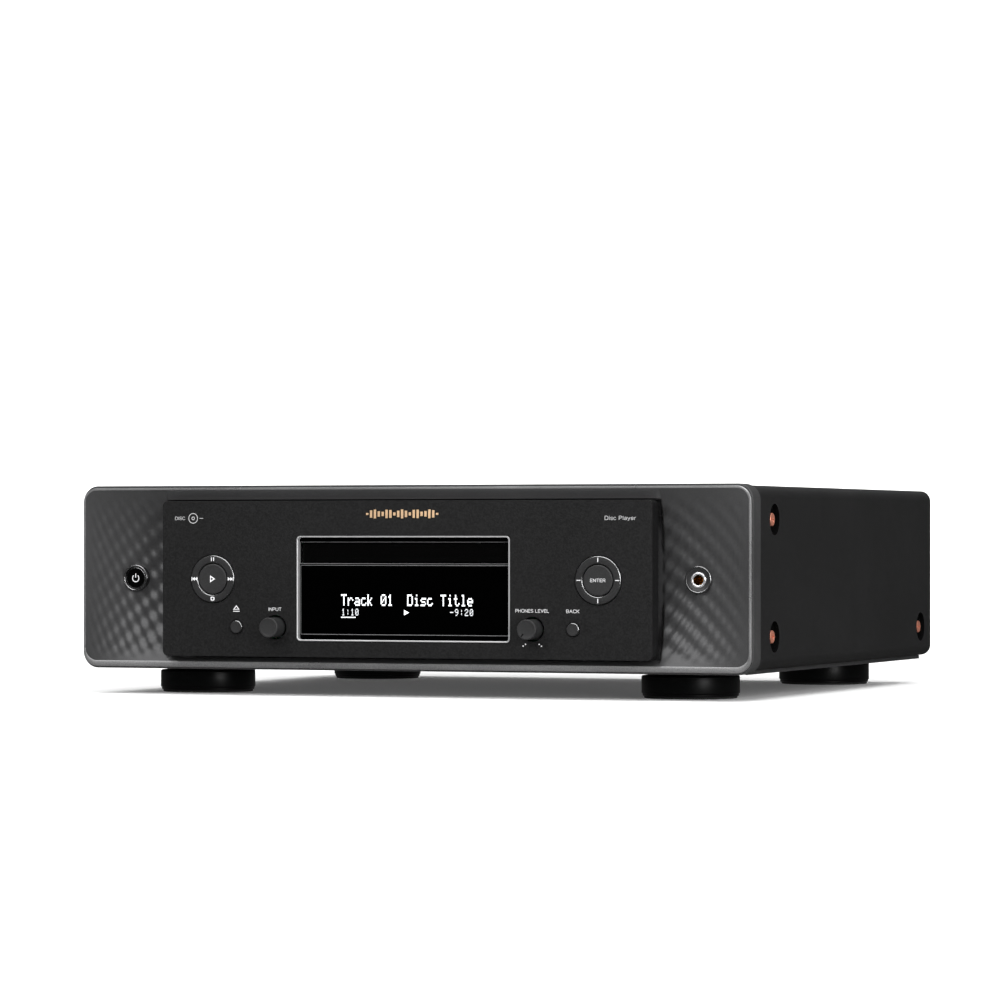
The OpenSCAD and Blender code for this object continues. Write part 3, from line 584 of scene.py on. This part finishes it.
chamfer("transport_edge_outer", -126.8, -202.2, 72.1, 14.6, 0.42, "transport_ring")
chamfer("transport_edge_inner", -126.8, -202.2, 72.1, 9.95, 0.40, "transport_ring", True)
chamfer("nav_edge_outer", 126.8, -202.2, 72.1, 14.6, 0.42, "nav_ring")
chamfer("nav_edge_inner", 126.8, -202.2, 72.1, 9.95, 0.40, "nav_ring", True)
chamfer("eject_edge", -110.8, -202.6, 42.5, 4.05, 0.42, "eject_button")
chamfer("back_edge", 110.8, -202.6, 42.5, 4.05, 0.42, "back_button")
chamfer("power_edge", -185.8, -189.3, 72.4, 6.7, 0.42, "power_button", False, "gloss_black")
chamfer("power_ring_edge", -185.8, -189.9, 72.4, 8.3, 0.28, "chassis", False, "bright_chrome")
chamfer("power_ring_lip", -185.8, -189.9, 72.4, 7.15, 0.40, "chassis", True, "bright_chrome")
chamfer("socket_edge", 185.8, -189.9, 72.4, 8.3, 0.30, "chassis", False, "bright_chrome")
prof = [(7.0, 0.3), (7.3, -0.02), (7.6, -0.02), (7.75, 0.2), (7.6, 0.4), (7.1, 0.5)]
make("socket_bead", *spin(prof, (185.8, -189.9, 72.4), seg=96, closed=True), M_GLINT, "chassis", "bright_chrome", 50)
prof = [(3.22, 0.35), (3.45, 0.02), (3.9, -0.16), (4.35, -0.05), (4.68, 0.3), (4.68, 0.9), (3.22, 0.9)]
make("socket_sleeve", *spin(prof, (185.8, -189.35, 72.4), seg=96, closed=True), M_CHROME, "chassis", "bright_chrome", 50)

# power button with its ring
prof = [(0, 0.25), (4.5, 0.12), (5.9, 0.0), (6.3, 0.08), (6.55, 0.26), (6.7, 0.6), (6.7, 10.9), (3, 10.9), (3, 19.4), (0, 19.4)]
make("power_button_cap", *spin(prof, (-185.8, -189.3, 72.4)), M_GLOSS, "power_button", "gloss_black", 40, ["power_button"])

# feet: one turned body each, with a groove and a lower lip
for i, (fx, fy) in enumerate([(-162, -133), (162, -133), (-162, 144.9), (162, 144.9)]):
    prof = [(2.05, 10), (2.05, 16.85), (25.6, 16.85), (26, 16.6), (26, 14.2), (26.3, 13.9), (28.9, 13.9), (29.5, 13.75), (29.9, 13.35), (30, 12.8),
            (30, 3.6), (29.85, 3.1), (29.5, 2.9), (29.4, 2.6), (29.4, 2.3), (29.3, 1.6), (28.9, 1.25), (28.55, 1.2), (28.55, 2.2), (23.45, 2.2),
            (23.45, 1.2), (22.9, 1.2), (10, 1.2), (7.2, 4), (7, 4.4), (7, 10)]
    o = make("foot_%d" % (i + 1), *spin(prof, (fx, fy, 0), "Z", 160, closed=True), M_FOOT, "chassis", "foot_resin", 35, ["feet"] if i == 0 else ())
    prof = [(23.6, 2.15), (23.55, 0.4), (23.8, 0.08), (24.2, 0), (27.8, 0), (28.2, 0.08), (28.45, 0.4), (28.45, 2.15)]
    make("foot_pad_%d" % (i + 1), *spin(prof, (fx, fy, 0), "Z", 128, closed=True), M_RUBBER, "chassis", "pad_rubber", 50, ["foot_pads"] if i == 0 else ())

# ------------------------------------------------------------------ display surround, and thin ridges at the window edges whose grey colour is a painted highlight
surround = loft([(-70.2, 70.2, 34.2, 98.7, 2.5, -201.72), (-70.02, 70.02, 34.38, 98.52, 2.35, -201.95), (-69.75, 69.75, 34.65, 98.25, 2.1, -202.0),
                 (-69.5, 69.5, 34.9, 98.0, 1.9, -201.93), (-69.3, 69.3, 35.1, 97.8, 1.7, -201.7), (-69.3, 69.3, 35.1, 97.8, 1.7, -194.4),
                 (-70.2, 70.2, 34.2, 98.7, 2.5, -194.4)], closed=True, n=12)
make("display_surround", *surround, M_TRIM, "chassis", "bright_chrome", 40, ["display_frame"])


def edge_frame(name, x0, x1, z0, z1, r, w, y, m):
    v = loft([(x0, x1, z0, z1, r, y + 0.12), (x0 + w / 2, x1 - w / 2, z0 + w / 2, z1 - w / 2, r, y), (x0 + w, x1 - w, z0 + w, z1 - w, r, y + 0.12),
              (x0 + w, x1 - w, z0 + w, z1 - w, r, y + 0.3), (x0, x1, z0, z1, r, y + 0.3)], closed=True, n=5)
    return make(name, *v, m, "chassis", "gloss_black", 30)


# real ridges at the window and tray slot edges; their lighter grey is a painted highlight
edge_frame("window_edge", -68.9, 68.9, 38.1, 80.9, 0.6, 0.42, -198.75, M_EDGE_PAINTED_HIGHLIGHT)
edge_frame("tray_slot_edge", -69.15, 69.15, 81.55, 95.15, 0.5, 0.36, -198.72, M_EDGE_PAINTED_HIGHLIGHT)

# ------------------------------------------------------------------ printed marks and glyphs
YP = -201.5
PR = (YP - 0.04, YP + 0.02)


def circle(cx, cz, r, n=20):
    return [(cx + r * math.cos(2 * math.pi * i / n), cz + r * math.sin(2 * math.pi * i / n)) for i in range(n)]


def scaled(pts, cx, cz, s):
    return [(cx + (x - cx) * s, cz + (z - cz) * s) for x, z in pts]


LETTER = {
    "I": (0.4, [[(0.2, 0), (0.2, 6)]]), "N": (4.2, [[(0, 0), (0, 6), (4.2, 0), (4.2, 6)]]),
    "P": (3.8, [[(0, 0), (0, 6), (2.9, 6), (3.8, 5.2), (3.8, 3.6), (2.9, 2.8), (0, 2.8)]]),
    "U": (4.2, [[(0, 6), (0, 1), (1, 0), (3.2, 0), (4.2, 1), (4.2, 6)]]), "T": (4, [[(0, 6), (4, 6)], [(2, 6), (2, 0)]]),
    "H": (4.2, [[(0, 0), (0, 6)], [(4.2, 0), (4.2, 6)], [(0, 3), (4.2, 3)]]),
    "O": (4.8, [[(1.3, 0), (3.5, 0), (4.8, 1.4), (4.8, 4.6), (3.5, 6), (1.3, 6), (0, 4.6), (0, 1.4), (1.3, 0)]]),
    "E": (3.6, [[(3.6, 0), (0, 0), (0, 6), (3.6, 6)], [(0, 3), (3.2, 3)]]),
    "S": (3.8, [[(0, 0.8), (1, 0), (2.9, 0), (3.8, 0.9), (3.8, 2.2), (2.9, 3), (0.9, 3), (0, 3.8), (0, 5.1), (1, 6), (2.9, 6), (3.8, 5.3)]]),
    "L": (3.4, [[(0, 6), (0, 0), (3.4, 0)]]), "V": (4.4, [[(0, 6), (2.2, 0), (4.4, 6)]]),
    "B": (4, [[(0, 0), (0, 6), (3, 6), (3.8, 5.3), (3.8, 3.8), (3, 3), (0, 3)], [(3, 3), (4, 2.2), (4, 0.8), (3, 0), (0, 0)]]),
    "A": (4.6, [[(0, 0), (2.3, 6), (4.6, 0)], [(0.8, 2), (3.8, 2)]]),
    "C": (4.4, [[(4.4, 1.1), (3.3, 0), (1.2, 0), (0, 1.3), (0, 4.7), (1.2, 6), (3.3, 6), (4.4, 4.9)]]),
    "K": (4, [[(0, 0), (0, 6)], [(4, 6), (0, 2.4)], [(1.3, 3.5), (4, 0)]]),
    "R": (4, [[(0, 0), (0, 6), (2.9, 6), (3.8, 5.2), (3.8, 3.6), (2.9, 2.8), (0, 2.8)], [(2.2, 2.8), (4, 0)]]),
    "D": (4.4, [[(0, 0), (0, 6), (2.8, 6), (4.4, 4.6), (4.4, 1.4), (2.8, 0), (0, 0)]]),
    "i": (0.6, [[(0.3, 0), (0.3, 4.1)], [(0.3, 5.3), (0.3, 5.9)]]), "l": (0.6, [[(0.3, 0), (0.3, 6)]]),
    "s": (2.8, [[(0, 0.5), (0.7, 0), (2.1, 0), (2.8, 0.6), (2.8, 1.4), (2.1, 2), (0.7, 2.1), (0, 2.7), (0, 3.5), (0.7, 4.1), (2.1, 4.1), (2.8, 3.6)]]),
    "c": (3, [[(3, 0.7), (2.2, 0), (0.9, 0), (0, 0.9), (0, 3.2), (0.9, 4.1), (2.2, 4.1), (3, 3.4)]]),
    "a": (3, [[(0.3, 3.6), (0.9, 4.1), (2.3, 4.1), (3, 3.4), (3, 0)], [(3, 2.4), (0.8, 2.3), (0, 1.7), (0, 0.6), (0.8, 0), (2.2, 0), (3, 0.8)]]),
    "y": (3.4, [[(0, 4.1), (1.75, 0)], [(3.4, 4.1), (1.3, -1.1), (0.4, -1.6)]]),
    "e": (3.1, [[(0, 2.1), (3.1, 2.1), (3.1, 3.2), (2.2, 4.1), (0.9, 4.1), (0, 3.2), (0, 0.9), (0.9, 0), (2.2, 0), (3, 0.7)]]),
    "r": (2, [[(0, 0), (0, 4.1)], [(0, 2.9), (0.9, 3.9), (2, 4.1)]]), " ": (1.6, []),
}


def word(name, body, text, x, z, width, height, stroke, y, m, slot):
    """Stroked lettering fitted to a width and a cap height, centred on x and z, in millimetres."""
    total = sum(LETTER[ch][0] for ch in text) + 1.5 * (len(text) - 1)
    kx, kz = width / total, (height - stroke) / 6.0
    parts, at = [], x - width / 2
    for ch in text:
        adv, lines_ = LETTER[ch]
        for line in lines_:
            q = [(at + a * kx, z - (height - stroke) / 2 + b * kz) for a, b in line]
            for (ax, az), (bx_, bz) in zip(q, q[1:]):
                d = math.hypot(bx_ - ax, bz - az)
                ux, uz = (bx_ - ax) / d * stroke / 2, (bz - az) / d * stroke / 2
                parts.append(prism([(ax - ux * 0.5 - uz, az - uz * 0.5 + ux), (bx_ + ux * 0.5 - uz, bz + uz * 0.5 + ux), (bx_ + ux * 0.5 + uz, bz + uz * 0.5 - ux), (ax - ux * 0.5 + uz, az - uz * 0.5 - ux)], y, y + 0.06))
        at += (adv + 1.5) * kx
    return make(name, *merge(parts), m, body, slot, 0)


word("label_input", "chassis", "INPUT", -84.8, 53.6, 8.5, 2.1, 0.25, YP - 0.04, M_PRINT, "button_black")
word("label_level", "chassis", "PHONES LEVEL", 84.6, 53.6, 21.4, 2.1, 0.25, YP - 0.04, M_PRINT, "button_black")
word("label_back", "chassis", "BACK", 110.6, 53.5, 8.2, 2.1, 0.25, YP - 0.04, M_PRINT, "button_black")
word("label_enter", "enter_button", "ENTER", 126.8, 72.1, 9.5, 2.05, 0.25, -202.24, M_PRINT, "button_black")

# eject sign
tri = [(-2.2, 53.2), (2.2, 53.2), (0, 55.9)]
tri = [(x - 110.9, z) for x, z in tri]
inner = scaled(tri, -110.9, 54.05, 0.56)
make("mark_eject", *merge([frame_shape(tri, inner, *PR), bar(-113.1, -108.7, 51.95, 52.4, *PR)]), M_PRINT, "chassis", "button_black", 0)

# dots beside the level knob
dots = [prism(circle(84.7 + dx, dz, 0.42, 16), *PR) for dx, dz in ((-5.9, 32.4), (-4.4, 33.5), (4.4, 33.5), (5.9, 32.4))]
make("marks_level", *merge(dots), M_PRINT, "chassis", "button_black", 0)

# play sign on the centre button
tri = [(-128.4, 69.9), (-125.0, 72.1), (-128.4, 74.3)]
inner = scaled(tri, -127.35, 72.1, 0.48)
make("mark_play", *frame_shape(tri, inner, -202.24, -202.1), M_PRINT, "play_button", "button_black", 0)

# signs on the transport ring: pause, stop, skips
yr = (-202.2, -202.02)
cx, cz = -126.8, 72.1
parts = [bar(cx - 1.0, cx - 0.5, cz + 11.1, cz + 13.4, *yr), bar(cx + 0.5, cx + 1.0, cz + 11.1, cz + 13.4, *yr)]
sq = [(cx + 1.3 * a, cz - 12.2 + 1.2 * b) for a, b in ((-1, -0.6), (-0.6, -1), (0.6, -1), (1, -0.6), (1, 0.6), (0.6, 1), (-0.6, 1), (-1, 0.6))]
parts += [frame_shape(sq, scaled(sq, cx, cz - 12.2, 0.52), *yr)]
for s in (-1, 1):
    x0 = cx + s * 10.4
    for k in (0, 1.7):
        parts += [prism([(x0 + s * k, cz - 1.15), (x0 + s * (k + 1.75), cz), (x0 + s * k, cz + 1.15)], *yr)]
    parts += [bar(min(x0 + s * 3.4, x0 + s * 3.95), max(x0 + s * 3.4, x0 + s * 3.95), cz - 1.15, cz + 1.15, *yr)]
make("marks_transport", *merge(parts), M_PRINT, "transport_ring", "button_black", 0)

# ticks on the navigation ring
cx = 126.8
parts = [bar(cx - 0.25, cx + 0.25, cz + 11.0, cz + 13.6, *yr), bar(cx - 0.25, cx + 0.25, cz - 13.6, cz - 11.0, *yr),
         bar(cx - 13.6, cx - 11.0, cz - 0.22, cz + 0.22, *yr), bar(cx + 11.0, cx + 13.6, cz - 0.22, cz + 0.22, *yr)]
make("marks_nav", *merge(parts), M_PRINT, "nav_ring", "button_black", 0)

# power sign
cx, cz, n = -185.8, 72.2, 24
out, inn = [], []
for i in range(n + 1):
    t = math.radians(130 + 280 * i / n)
    out.append((cx + 2.45 * math.cos(t), cz + 2.45 * math.sin(t)))
    inn.append((cx + 1.95 * math.cos(t), cz + 1.95 * math.sin(t)))
arc = [prism([out[i], out[i + 1], inn[i + 1], inn[i]], -189.26, -189.1) for i in range(n)]
make("mark_power", *merge(arc + [bar(cx - 0.26, cx + 0.26, cz + 0.4, cz + 2.95, -189.26, -189.1)]), M_PRINT, "power_button", "gloss_black", 0)

# generic caption at the upper right, and a small open-disc sign at the upper left
word("label_kind", "chassis", "Disc Player", 140.9, 109.5, 19.6, 2.5, 0.30, YP - 0.04, M_SIGN, "panel_black")
word("label_left", "chassis", "DISC", -149.2, 109.6, 6.6, 2.1, 0.26, YP - 0.04, M_SIGN, "panel_black")
cx, cz = -140.3, 109.6
rings = [frame_shape(circle(cx, cz, a, 40), circle(cx, cz, b, 40), *PR) for a, b in ((3.2, 2.8), (1.1, 0.7))]
make("mark_disc", *merge(rings + [bar(cx + 4.4, cx + 6.8, cz - 0.16, cz + 0.16, *PR)]), M_SIGN, "chassis", "panel_black", 0)

# ------------------------------------------------------------------ display: dot-matrix line
FONT = {
    "T": "11111 00100 00100 00100 00100 00100 00100", "r": "00000 00000 10110 11001 10000 10000 10000",
    "a": "00000 00000 01110 00001 01111 10001 01111", "c": "00000 00000 01110 10000 10000 10001 01110",
    "k": "10000 10000 10010 10100 11000 10100 10010", "0": "01110 10001 10011 10101 11001 10001 01110",
    "1": "00100 01100 00100 00100 00100 00100 01110", "D": "11110 10001 10001 10001 10001 10001 11110",
    "i": "00100 00000 01100 00100 00100 00100 01110", "s": "00000 00000 01111 10000 01110 00001 11110",
    "t": "01000 01000 11100 01000 01000 01001 00110", "l": "01100 00100 00100 00100 00100 00100 01110",
    "e": "00000 00000 01110 10001 11111 10000 01110", ":": "00000 00100 00100 00000 00100 00100 00000",
    "-": "00000 00000 00000 11111 00000 00000 00000", "9": "01110 10001 10001 01111 00001 00010 01100",
    "2": "01110 10001 00001 00110 01000 10000 11111", " ": "00000 00000 00000 00000 00000 00000 00000",
}


def dots_line(text, x, z, pitch_x, pitch_z, y, adv=6):
    """Lit dots of a line of text; x and z are its lower left corner."""
    parts = []
    for n_, ch in enumerate(text):
        rows = FONT[ch].split()
        for j, row in enumerate(rows):
            for i, b in enumerate(row):
                if b == "1":
                    px, pz = x + (n_ * adv + i) * pitch_x, z + (6 - j) * pitch_z
                    parts.append(bar(px + 0.015, px + pitch_x - 0.015, pz + 0.02, pz + pitch_z - 0.02, y, y + 0.05))
    return parts


yd = -198.16
title = "Track 01  Disc Title"
px = 86.8 / (len(title) * 6 - 1)
lines = dots_line(title, -41.85, 56.0, px, 1.0, yd)
lines += [prism([(-0.2, 50.35), (-0.2, 53.65), (3.1, 52.0)], yd, yd + 0.05), bar(-41.95, -32.3, 48.6, 49.15, yd, yd + 0.05)]
make("display_dots", *merge(lines), M_TEXT, "chassis", "gloss_black", 0)
lines = dots_line("1:10", -41.5, 50.0, 0.43, 0.60, yd, adv=7) + dots_line("-9:20", 30.0, 50.2, 0.43, 0.60, yd, adv=7.5)
make("display_times", *merge(lines), M_TEXT2, "chassis", "gloss_black", 0)

# ------------------------------------------------------------------ rear details
for i, (x, z, m) in enumerate([(-165, 92, M_WHITE), (-165, 72, M_RED), (-140, 92, M_WHITE), (-140, 72, M_RED), (-105, 92, M_GOLDP)]):
    prof = [(1.75, 0), (1.75, 0.5), (3.3, 0.5), (3.4, 0.35), (3.4, 0)]
    make("jack_insulator_%d" % (i + 1), *spin(prof, (x, 210.4, z), seg=48, closed=True), m, "chassis", "gold_plate", 40)

# ------------------------------------------------------------------ stage and light
bm = bmesh.new()
prof = [(-2.2, 0.0)] + [(3.2 + 1.6 * math.sin(math.radians(t)), 1.6 - 1.6 * math.cos(math.radians(t))) for t in range(0, 91, 6)] + [(4.8, 6.0)]
rows_ = [[bm.verts.new((x, y, z)) for x in (-7.0, 7.0)] for y, z in prof]
for r0, r1 in zip(rows_, rows_[1:]):
    bm.faces.new((r0[0], r0[1], r1[1], r1[0]))
me = bpy.data.meshes.new("studio_floor")
bm.to_mesh(me)
bm.free()
for p in me.polygons:
    p.use_smooth = True
floor = bpy.data.objects.new("studio_floor", me)
floor.rotation_euler = (0, 0, math.radians(21.2))
scene.collection.objects.link(floor)
mf, nt, bs = nodes_of("floor_pale")
tc = nt.nodes.new("ShaderNodeTexCoord").outputs["Object"]
nt.links.new(ramp(nt, noise(nt, tc, 2.0), 0.3, 0.7, (0.93, 0.93, 0.93), (0.95, 0.95, 0.95)), bs.inputs["Base Color"])
nt.links.new(maprange(nt, noise(nt, tc, 5.0), 0.3, 0.7, 0.55, 0.65), bs.inputs["Roughness"])
bs.inputs["Specular IOR Level"].default_value = 0.2
bs.inputs["Emission Color"].default_value = (1, 1, 1, 1)
bs.inputs["Emission Strength"].default_value = 0.07
paint(floor, mf)
floor.visible_glossy = False


def area(name, loc, target, sx, sy, power, col=(1, 1, 1)):
    d = bpy.data.lights.new(name, "AREA")
    d.shape = "RECTANGLE"
    d.size, d.size_y = sx, sy
    d.energy = power
    d.color = col
    o = bpy.data.objects.new(name, d)
    scene.collection.objects.link(o)
    o.location = loc
    o.rotation_euler = (Vector(target) - Vector(loc)).to_track_quat("-Z", "Y").to_euler()
    return o


area("top_box", (0.25, -0.85, 1.75), (0, -0.15, 0.05), 2.8, 1.2, 42)
area("front_strip", (-0.45, -2.2, 1.18), (-0.05, -0.15, 0.05), 3.2, 0.55, 23)
area("right_box", (1.45, -1.2, 0.45), (0.2, -0.1, 0.07), 0.5, 0.9, 20)
area("back_wash", (0.0, 2.2, 3.4), (0, 4.4, 0.8), 6.0, 1.5, 260)

world = bpy.data.worlds.new("studio")
scene.world = world
world.use_nodes = True
wn = world.node_tree
bg = wn.nodes["Background"]
bg.inputs["Color"].default_value = (1, 1, 1, 1)
lp = wn.nodes.new("ShaderNodeLightPath")
wm = wn.nodes.new("ShaderNodeMapRange")
wm.inputs["To Min"].default_value = 0.50
wm.inputs["To Max"].default_value = 0.065
wn.links.new(lp.outputs["Is Glossy Ray"], wm.inputs["Value"])
wn.links.new(wm.outputs["Result"], bg.inputs["Strength"])
